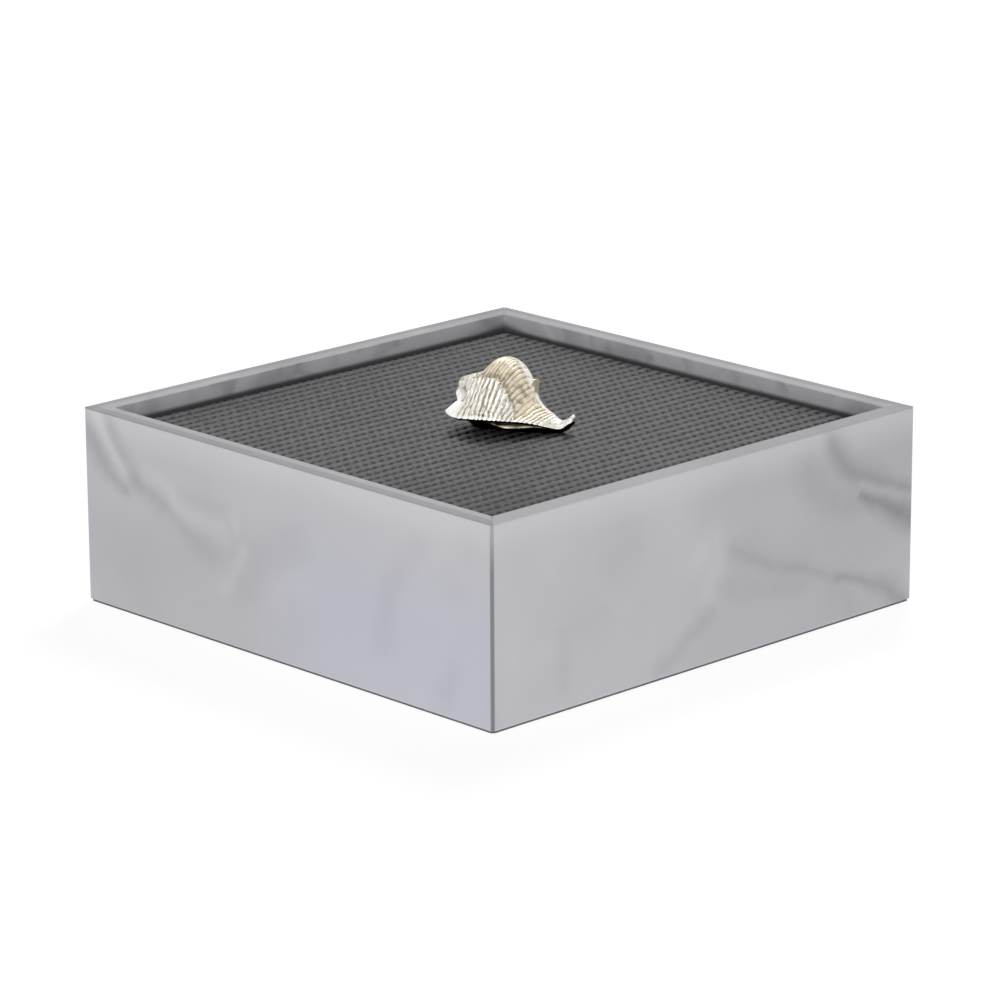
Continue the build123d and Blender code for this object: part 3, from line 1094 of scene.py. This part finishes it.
# Sections: place along the axis, crown, axis, lip reach and height, back reach, foot, lip side low and high
SHELL_STATIONS = (
    (0.028, 0.650, 0.500, 0.170, 0.450, 0.260, 0.359, 0.62, 0.40),
    (0.060, 0.680, 0.485, 0.250, 0.388, 0.400, 0.291, 0.52, 0.32),
    (0.10, 0.702, 0.468, 0.400, 0.330, 0.580, 0.201, 0.48, 0.29),
    (0.13, 0.716, 0.460, 0.850, 0.315, 0.680, 0.142, 0.34, 0.21),
    (0.175, 0.743, 0.443, 0.945, 0.262, 0.800, 0.056, 0.47, 0.29),
    (0.246, 0.805, 0.421, 0.985, 0.234, 0.920, -0.031, 0.64, 0.40),
    (0.300, 0.905, 0.402, 0.995, 0.236, 0.980, -0.043, 0.72, 0.45),
    (0.345, 0.974, 0.387, 1, 0.240, 1, -0.046, 0.77, 0.48),
    (0.39, 1, 0.372, 1, 0.244, 0.980, -0.046, 0.80, 0.50),
    (0.443, 0.986, 0.353, 0.995, 0.247, 0.900, -0.046, 0.80, 0.50),
    (0.496, 0.928, 0.337, 0.985, 0.249, 0.780, -0.046, 0.80, 0.50),
    (0.540, 0.848, 0.319, 0.971, 0.249, 0.660, -0.046, 0.79, 0.50),
    (0.582, 0.735, 0.294, 0.951, 0.249, 0.530, -0.046, 0.77, 0.49),
    (0.615, 0.610, 0.272, 0.932, 0.248, 0.440, -0.046, 0.75, 0.48),
    (0.655, 0.465, 0.250, 0.893, 0.244, 0.370, -0.046, 0.72, 0.44),
    (0.700, 0.368, 0.222, 0.820, 0.236, 0.320, -0.043, 0.72, 0.42),
    (0.746, 0.302, 0.194, 0.722, 0.222, 0.280, -0.037, 0.72, 0.42),
    (0.807, 0.250, 0.148, 0.566, 0.186, 0.225, -0.028, 0.74, 0.44),
    (0.882, 0.180, 0.088, 0.327, 0.112, 0.159, -0.009, 0.78, 0.48),
    (0.940, 0.196, 0.108, 0.195, 0.088, 0.129, 0.032, 0.80, 0.50),
    (1, 0.280, 0.200, 0.125, 0.170, 0.095, 0.130, 0.80, 0.50),
)


@dataclass(frozen=True)
class Relief:
    """What the casting adds to the smooth shell at a place.

    Attributes:
        rise: The height that it adds, in metres.
        dull_and_shade: How dull the metal is, with painted shade behind the ridge, on the spine and at a
            notch: in a groove up to GROOVE_DULL, and in the mouth, with its painted shade, up to 1.
        polish_and_highlight: How far it is polished, with painted highlights on its brightest edges.
        warm: How warm its tone is.
    """

    rise: float
    dull_and_shade: float
    polish_and_highlight: float
    warm: float


@dataclass
class ShellKnob:
    """The cast seashell that the lid is lifted by: a whelk lying on its mouth.

    Attributes:
        length: Its length along its own axis.
        height: The height of its hump above the leather.
        lip_reach: How far its flared lip stands out from the axis.
        back_reach: How far its back stands out from the axis.
        lean: How far the sections lean toward the spire on the lip side.
        bearing: The axis's direction in plan, in degrees.
        seat: The point of the lid that it is turned about.
        seat_share: The share of the length at that point.
        rib_first: Where the ribs start, as a share of the length.
        rib_pace: How many ribs a length of the shell would hold at the pace of the first.
        rib_gain: How quickly they close up after that.
        dome_ribs: How many finer ribs the hump has for each of them.
        dome_span: Where the finer ribs start and end.
        rib_swell: How far the solid's ribs stand out.
        groove: The depth of the grooves between the ribs.
        step: The height of the ridge where the flared lip was laid over the hump.
        spine: The height of the small spine on its back.
        spire_rise: How far the coiled spire stands out of the end.
        spire_curve: How round the spire's side is.
        coils: How many turns it has.
        suture: How far the line between two turns stands back.
        tip_rise: How far the other end is rounded out.
        fold_span: Where the fold behind the lip is strongest, and how far it reaches.
        back_turn: The share of each section's loop that its back takes.
        body_rows, spire_rows, tip_rows: How many rows the mesh has along the body and at its ends.
        columns: How many columns it has round the axis.
        weld: How near two of its points are that they become one.
        steel: The finish of the screws and washers.
    """

    length: float = 57.0 * MM
    height: float = 32.3 * MM
    lip_reach: float = 20.5 * MM
    back_reach: float = 17.0 * MM
    lean: float = 0.33
    bearing: float = -67.0
    seat: Spot = (0.0, -5.0 * MM, 84.5 * MM)
    seat_share: float = 0.42
    rib_first: float = 0.10
    rib_pace: float = 10.6
    rib_gain: float = 20.3
    dome_ribs: float = 1.6
    dome_span: Place = (0.27, 0.64)
    rib_swell: float = 0.42 * MM
    groove: float = 0.85 * MM
    step: float = 0.85 * MM
    spine: float = 5.0 * MM
    spire_rise: float = 1.6 * MM
    spire_curve: float = 1.6
    coils: float = 2.6
    suture: float = 0.5 * MM
    tip_rise: float = 0.8 * MM
    fold_span: Place = (0.68, 0.18)
    back_turn: float = 0.70
    body_rows: int = 236
    spire_rows: int = 26
    tip_rows: int = 8
    columns: int = 170
    weld: float = 0.002 * MM
    steel: PlainFinish = PlainFinish("zinc_steel", (0.52, 0.52, 0.53), (0.62, 0.62, 0.63), 900.0, 0.35, 1.0)

    def station(self, share: float) -> list[float]:
        """The section's sizes at a place along the axis, on a smooth curve through the stations."""
        places = [row[0] for row in SHELL_STATIONS]
        return [ease_through(places, [row[column] for row in SHELL_STATIONS], share)
                for column in range(1, len(SHELL_STATIONS[0]))]

    def part(self, column: int) -> tuple[bool, float]:
        """Whether a column lies on the back, and its place along the back or the mouth.

        Args:
            column: The column.

        Returns:
            Whether it lies on the back, and a share from 0 to 1.
        """
        turn = column / self.columns
        if turn <= self.back_turn:
            return True, turn / self.back_turn
        return False, (turn - self.back_turn) / (1.0 - self.back_turn)

    def outline(self, share: float) -> list[Place]:
        """One section's loop, from the lip over the back and round through the mouth.

        Args:
            share: The place along the axis.

        Returns:
            Points across and above the leather, in metres.
        """
        crown_part, axis_part, lip_part, rise_part, back_part, foot_part, low, high = self.station(share)
        crown, axis, lip, foot = (self.height * part
                                  for part in (crown_part, axis_part, rise_part, foot_part))
        reach, back, rise = self.lip_reach * lip_part, self.back_reach * back_part, crown - lip
        back_line = ((-reach, lip), (-reach * low, lip + rise * 0.28), (-reach * high, lip + rise * 0.74),
                     (back * 0.06, crown), (back * 0.72, axis + (crown - axis) * 0.72), (back, axis),
                     (back * 0.86, foot + (axis - foot) * 0.40), (back * 0.55, foot))
        drop = lip - foot
        fold = swell(share, *self.fold_span)
        mouth_line = (back_line[-1], (-reach * 0.30, foot), (-reach * 0.52, foot + drop * 0.78),
                      (-reach * (0.74 + 0.04 * fold), lip - drop * (0.16 + 0.34 * fold)),
                      (-reach * (0.80 + 0.17 * fold), lip - drop * (0.15 + 0.25 * fold)),
                      (-reach * 0.86, lip - drop * (0.14 + 0.02 * fold)),
                      (-reach * 0.95, lip - drop * 0.13), back_line[0])
        loop = []
        for column in range(self.columns + 1):
            on_back, part = self.part(column)
            points, turns, pull = ((back_line, BACK_TURNS, ease_through) if on_back
                                   else (mouth_line, MOUTH_TURNS, lean_through))
            loop.append(tuple(pull(turns, [point[k] for point in points], part) for k in (0, 1)))
        return loop

    def ribs(self, share: float) -> float:
        """How many ribs come before a place along the axis."""
        reach = share - self.rib_first
        return reach * (self.rib_pace + self.rib_gain * reach)

    def relief(self, share: float, turn: float) -> Relief:
        """What stands on the smooth form at a place.

        Args:
            share: The place along the axis.
            turn: The place round the section, from the lip at 0 to the heel at 1.

        Returns:
            The relief there.
        """
        # Unevenness of the casting
        stray = noise.noise(Vector((share * 11.0, turn * 6.0, 3.0)))
        grit = noise.noise(Vector((share * 62.0 + turn * 21.0, turn * 34.0 - share * 40.0, 7.7)))
        flaw = noise.noise(Vector((share * 24.0 + turn * 11.0, turn * 14.0 - share * 19.0, 11.3)))
        # Ribs, and the ridge where the lip was laid over the hump
        count = self.ribs(share) + 0.30 * stray
        ridge = ease_through(RIDGE_SHARES, RIDGE_TURNS, held(share, RIDGE_SHARES[0], RIDGE_SHARES[-1]))
        ridge += 0.012 * math.cos(TURN * count) + 0.014 * stray
        laid = (1.0 - smooth(turn, ridge - 0.008, ridge + 0.008)) * smooth(share, 0.09, 0.15)
        start, end = self.dome_span
        extra = (self.dome_ribs - 1.0) * (self.ribs(held(share, start, end)) - self.ribs(start))
        count += 0.15 * flaw if laid > 0.5 else extra
        own = noise.noise(Vector((math.floor(count) * 0.73, 5.0 * laid, 2.0 + turn)))
        wave = abs(count - math.floor(count) - 0.5) * 2.0
        furrow, crest = smooth(wave, 0.45, 0.98), 1.0 - smooth(wave, 0.10, 0.60)
        # Places that are smoother than the rest, and what stands out
        flank = smooth(turn, 0.50, 0.55) * smooth(share, 0.40, 0.52)
        horn = (1.0 - smooth(share, 0.20, 0.27)) * (1.0 - smooth(turn, 0.08, 0.16))
        crown = swell(turn, 0.46, 0.07) * swell(share, 0.38, 0.08)
        ribbed = smooth(share, 0.085, 0.13) * (1.0 - smooth(share, 0.80, 0.88))
        strong = ribbed * (0.60 + 0.40 * laid) * (1.0 - 0.75 * flank) * (1.0 - 0.65 * crown) * (1.0 - horn)
        strong *= 1.0 - 0.5 * smooth(turn, 0.60, 0.90)
        strong *= held(0.95 + 0.7 * own + 0.6 * laid * flaw, 0.25, 1.3)
        edge = swell(turn, ridge - 0.012, 0.014) * smooth(share, 0.14, 0.20)
        edge *= 1.0 - smooth(share, 0.60, 0.68)
        behind = swell(turn, ridge + 0.018, 0.016) * smooth(share, 0.13, 0.18)
        spine = swell(share, 0.622, 0.024) * swell(turn, 0.595, 0.036)
        # Height, and how dull, polished and warm the metal is, with painted shade among the dulling and
        # painted highlights among the polish
        rise = self.rib_swell * ribbed * 0.6 - self.groove * furrow * strong
        rise += self.step * laid * smooth(turn, 0.0, 0.08) + 0.25 * MM * edge + self.spine * spine
        rise += (0.10 + 0.08 * laid) * MM * grit * (1.0 - 0.8 * horn)
        lip = 1.0 - smooth(turn, 0.010, 0.035)
        # Dulling in the grooves, and painted shadow just behind the ridge
        dull_and_shade = (0.50 + 0.34 * (1.0 - laid)) * furrow * strong + 0.35 * behind
        dull_and_shade += (0.55 * max(0.0, -grit) + 0.30 * max(0.0, -flaw)) * (1.0 - horn)
        # Painted shade on the spine's shaded front, and at a notch near the spire
        dull_and_shade += 0.80 * smooth(share, 0.600, 0.615) * min(1.0, 2.0 * spine)
        dull_and_shade += 0.55 * swell(share, 0.050, 0.022) * swell(turn, 0.385, 0.035)
        # Polish on the crests, with painted highlights on the ridge's edge, the horn, the lip's edge, the
        # flank and the tip
        polish_and_highlight = laid * crest * (0.50 + 1.0 * grit + 0.7 * flaw) + edge + horn + 0.9 * lip
        polish_and_highlight += 0.8 * flank * (1.0 - spine)
        polish_and_highlight += 0.35 * crest * (1.0 - laid) * max(0.0, 0.4 + grit) + smooth(share, 0.93, 0.98)
        warm = (1.0 - laid) * (1.0 - 0.8 * flank) * smooth(share, 0.16, 0.30)
        warm *= 1.0 - smooth(share, 0.74, 0.88)
        dull_and_shade *= 1.0 - 0.9 * lip
        return Relief(rise, held(dull_and_shade, 0.0, GROOVE_DULL), held(polish_and_highlight), warm)

    def mouth(self, share: float, part: float) -> Relief:
        """The look inside the mouth: blackened as patina and painted shade, with a paler fold hanging behind
        the lip that carries a painted highlight.

        Args:
            share: The place along the axis.
            part: The place from the heel at 0 to the lip at 1.

        Returns:
            The relief there, which adds no height.
        """
        chipped = noise.noise(Vector((share * 26.0, part * 9.0, 4.4)))
        # The fold behind the lip is kept out of the painted shade and given a painted highlight
        fold = swell(part, 0.772, 0.030) * swell(share, *self.fold_span) * held(0.75 + 1.2 * chipped, 0.2)
        return Relief(0.0, 1.0 - 0.92 * fold, 0.6 * fold, 0.0)

    def rows(self) -> list[Spot]:
        """Each row of the mesh: its place along the axis, its section's size and its push along the axis.

        Returns:
            The rows, from the spire to the tip.
        """
        first, last = SHELL_STATIONS[0][0], SHELL_STATIONS[-1][0]
        made = []
        for row in range(self.spire_rows):
            size = row / self.spire_rows
            made.append((first, size, -self.spire_rise * (1.0 - size ** self.spire_curve)))
        for row in range(self.body_rows + 1):
            made.append((first + (last - first) * row / self.body_rows, 1.0, 0.0))
        for row in range(1, self.tip_rows + 1):
            turn = math.pi / 2 * row / self.tip_rows
            made.append((last, math.cos(turn), self.tip_rise * math.sin(turn)))
        return made

    def skin(self) -> bmesh.types.BMesh:
        """Model the shell as a grid wrapped round its axis.

        Returns:
            The closed mesh, with its warmth, its dulling with painted shade and its polish with painted
            highlights as numbers on each vertex.
        """
        rows = self.rows()
        shape = bmesh.new()
        layers = [shape.verts.layers.float.new(name) for name in ("warmth", "dull_and_shade", "polish_and_highlight")]
        bmesh.ops.create_grid(shape, x_segments=len(rows) - 1, y_segments=self.columns, size=0.5)
        turned = Matrix.Translation(self.seat) @ Matrix.Rotation(math.radians(self.bearing), 4, "Z")
        spots = [[None] * (self.columns + 1) for _ in rows]
        marks = [[(0.0, 0.0, 0.0)] * (self.columns + 1) for _ in rows]
        for index, (share, size, push) in enumerate(rows):
            loop = self.outline(share)
            middle = [sum(point[k] for point in loop[:-1]) / self.columns for k in (0, 1)]
            for column, (across, up) in enumerate(loop):
                ahead, behind = loop[(column + 1) % self.columns], loop[(column - 1) % self.columns]
                run = Vector((ahead[0] - behind[0], ahead[1] - behind[1]))
                out = Vector((-run.y, run.x)).normalized() if run.length else Vector((0.0, 0.0))
                on_back, part = self.part(column)
                cast = self.relief(share, part) if on_back else self.mouth(share, part)
                across, up, dull, coil = across + out.x * cast.rise, up + out.y * cast.rise, cast.dull_and_shade, 0.0
                if size < 1.0 and index < self.spire_rows:
                    angle = math.atan2(up - middle[1], across - middle[0]) / TURN
                    count = self.coils * size + angle
                    suture = swell(abs(count - round(count)), 0.0, 0.10) * smooth(size, 0.02, 0.15)
                    coil, dull = self.suture * suture, 0.6 * suture
                across = middle[0] + (across - middle[0]) * size
                up = max(middle[1] + (up - middle[1]) * size, 0.0)
                along = (share - self.seat_share) * self.length + self.lean * across + push + coil
                spots[index][column] = turned @ Vector((along, across, up))
                marks[index][column] = (cast.warm, dull, cast.polish_and_highlight)
        for vert in shape.verts:
            index = round((vert.co.x + 0.5) * (len(rows) - 1))
            column = round((vert.co.y + 0.5) * self.columns)
            for layer, mark in zip(layers, marks[index][column]):
                vert[layer] = mark
            vert.co = spots[index][column]
        bmesh.ops.remove_doubles(shape, verts=shape.verts, dist=self.weld)
        return shape

    def build(self) -> None:
        """Put the finely cast shell in place of its plainer solid, and dress its fixings."""
        steel = self.steel.material()
        for node in ("knob_screws", "knob_washers"):
            coat(node, steel)
        piece = settle("shell_knob_cast", self.skin(), CastMetalFinish().material())
        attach(piece, "lid")
        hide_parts("shell_knob")
        log.info("built %s", piece.name)


@dataclass(frozen=True)
class Lamp:
    """A square soft light.

    Attributes:
        name: Its name.
        place: Where it hangs, in metres.
        size: The length of its side, in metres.
        power: Its power, in watts.
    """

    name: str
    place: Spot
    size: float
    power: float

    def hang(self, aim: Spot) -> None:
        """Hang it, turned toward a point.

        Args:
            aim: The point, in metres.
        """
        data = bpy.data.lights.new(self.name, "AREA")
        data.shape, data.size, data.energy = "SQUARE", self.size, self.power
        item = bpy.data.objects.new(self.name, data)
        item.location = self.place
        item.rotation_euler = (Vector(aim) - Vector(self.place)).to_track_quat("-Z", "Y").to_euler()
        bpy.context.scene.collection.objects.link(item)


@dataclass
class Studio:
    """The floor, the soft light and the camera.

    Attributes:
        eye: The camera's place, in metres.
        yaw: The compass direction that it looks in, in degrees.
        pitch: How far it looks down, in degrees.
        roll: How far it is turned about its view, in degrees.
        lens: Its focal length, in millimetres.
        sensor: The width of its sensor, in millimetres.
        lamps: The lamps.
        aim: The point that they are turned toward, in metres.
        horizon: The brightness of the light from the sides.
        zenith: The brightness of the light from above.
        table_glow: How far the white table lights the object from below.
        table_shade: How pale the floor is for the light that it throws on the object.
        floor_shade: How pale it is as it is seen.
        floor_white: How white the floor looks at the box before the light on it is added.
        far_white: How white it looks well away from the box.
        floor_ring: How far from the middle it starts and stops growing whiter, in metres.
        floor_half: Half the floor's width, in metres.
        floor_drop: How far it lies under the box, in metres.
    """

    eye: Spot = (-1.44701, -1.49545, 0.65502)
    yaw: float = 45.931
    pitch: float = 16.252
    roll: float = -0.275
    lens: float = 169.12
    sensor: float = 36.0
    lamps: tuple[Lamp, ...] = (
        Lamp("front_softbox", (-1.55, -1.65, 2.10), size=2.0, power=4.0),
        Lamp("low_softbox", (-1.80, -1.52, 0.60), size=1.6, power=10.4),
        Lamp("overhead_softbox", (0.92, 0.56, 1.60), size=0.5, power=10.6),
    )
    aim: Spot = (0.0, 0.0, 0.05)
    horizon: float = 0.36
    zenith: float = 0.21
    table_glow: float = 0.590
    table_shade: float = 0.85
    floor_shade: float = 0.30
    floor_white: float = 0.85
    far_white: float = 0.95
    floor_ring: Place = (0.3, 1.3)
    floor_half: float = 6.0
    floor_drop: float = 0.2 * MM

    def camera(self) -> None:
        """Set the camera at the photograph's viewing angle."""
        yaw, pitch, roll = (math.radians(angle) for angle in (self.yaw, self.pitch, self.roll))
        ahead = Vector((math.cos(yaw) * math.cos(pitch), math.sin(yaw) * math.cos(pitch), -math.sin(pitch)))
        right = Vector((math.sin(yaw), -math.cos(yaw), 0.0))
        up = right.cross(ahead)
        cosine, sine = math.cos(roll), math.sin(roll)
        right, up = right * cosine + up * sine, up * cosine - right * sine
        data = bpy.data.cameras.new("camera")
        data.lens, data.sensor_width = self.lens, self.sensor
        item = bpy.data.objects.new("camera", data)
        turn = Matrix((right, up, -ahead)).transposed().to_4x4()
        item.matrix_world = Matrix.Translation(self.eye) @ turn
        bpy.context.scene.collection.objects.link(item)
        bpy.context.scene.camera = item

    def show(self, bench: NodeBench, output: str, lit: Any, shown: Any) -> None:
        """End a tree with one shader for the light on the object and another for what is seen.

        Args:
            bench: The tree's bench.
            output: The type of the tree's last node.
            lit: The shader that lights the object.
            shown: The shader for the camera, a reflection or a see-through surface.
        """
        rays = bench.add("LightPath").outputs
        seen = bench.most([rays["Is " + kind + " Ray"] for kind in ("Camera", "Glossy", "Transmission")])
        mix = bench.fill(bench.add("MixShader"), seen, lit, shown)
        bench.feed(bench.add(output).inputs["Surface"], mix.outputs[0])

    def sky(self) -> None:
        """A pale studio all round, brighter at the sides than above, and white behind the object."""
        world = bpy.data.worlds.new("studio")
        world.use_nodes = True
        bench = NodeBench(world.node_tree)
        bench.nodes.clear()
        way = bench.fill(bench.add("SeparateXYZ"), bench.add("TexCoord").outputs["Generated"])
        level = bench.span(way.outputs["Z"], 0.0, 1.0, self.horizon, self.zenith, "LINEAR")
        lit, white = (bench.fill(bench.add("Background"), (1.0, 1.0, 1.0), strength).outputs[0]
                      for strength in (level, 1.0))
        self.show(bench, "OutputWorld", lit, white)
        bpy.context.scene.world = world

    def floor(self) -> None:
        """Lay a white floor that keeps the object's shadow."""
        material = bpy.data.materials.new("studio_floor")
        material.use_nodes = True
        bench = NodeBench(material.node_tree)
        bench.nodes.clear()
        away = bench.vector("LENGTH", bench.add("TexCoord").outputs["Object"], give="Value")
        paler = bench.span(away, *self.floor_ring, self.floor_white, self.far_white, "LINEAR")
        sides = []
        for shade, strength in ((self.table_shade, self.table_glow), (self.floor_shade, paler)):
            matt = bench.fill(bench.add("BsdfDiffuse"), (shade, shade, shade))
            glow = bench.add("Emission")
            bench.feed(glow.inputs["Strength"], strength)
            sides.append(bench.fill(bench.add("AddShader"), matt.outputs[0], glow.outputs[0]).outputs[0])
        self.show(bench, "OutputMaterial", *sides)
        shape = bmesh.new()
        bmesh.ops.create_grid(shape, x_segments=1, y_segments=1, size=self.floor_half)
        bmesh.ops.translate(shape, verts=shape.verts, vec=(0.0, 0.0, -self.floor_drop))
        settle("floor", shape, material)

    def build(self) -> None:
        """Set up the studio."""
        self.sky()
        self.floor()
        for lamp in self.lamps:
            lamp.hang(self.aim)
        self.camera()
        bpy.context.scene.view_settings.view_transform = "Standard"
        log.info("set up the studio")


def main() -> None:
    """Build the box's pieces in order."""
    logging.basicConfig(level=logging.INFO, format="%(message)s")
    for part in (MarbleCase(), Lining(), LeatherLid(), ShellKnob(), Studio()):
        log.info("building %s", type(part).__name__)
        part.build()


if __name__ == "__main__":
    main()
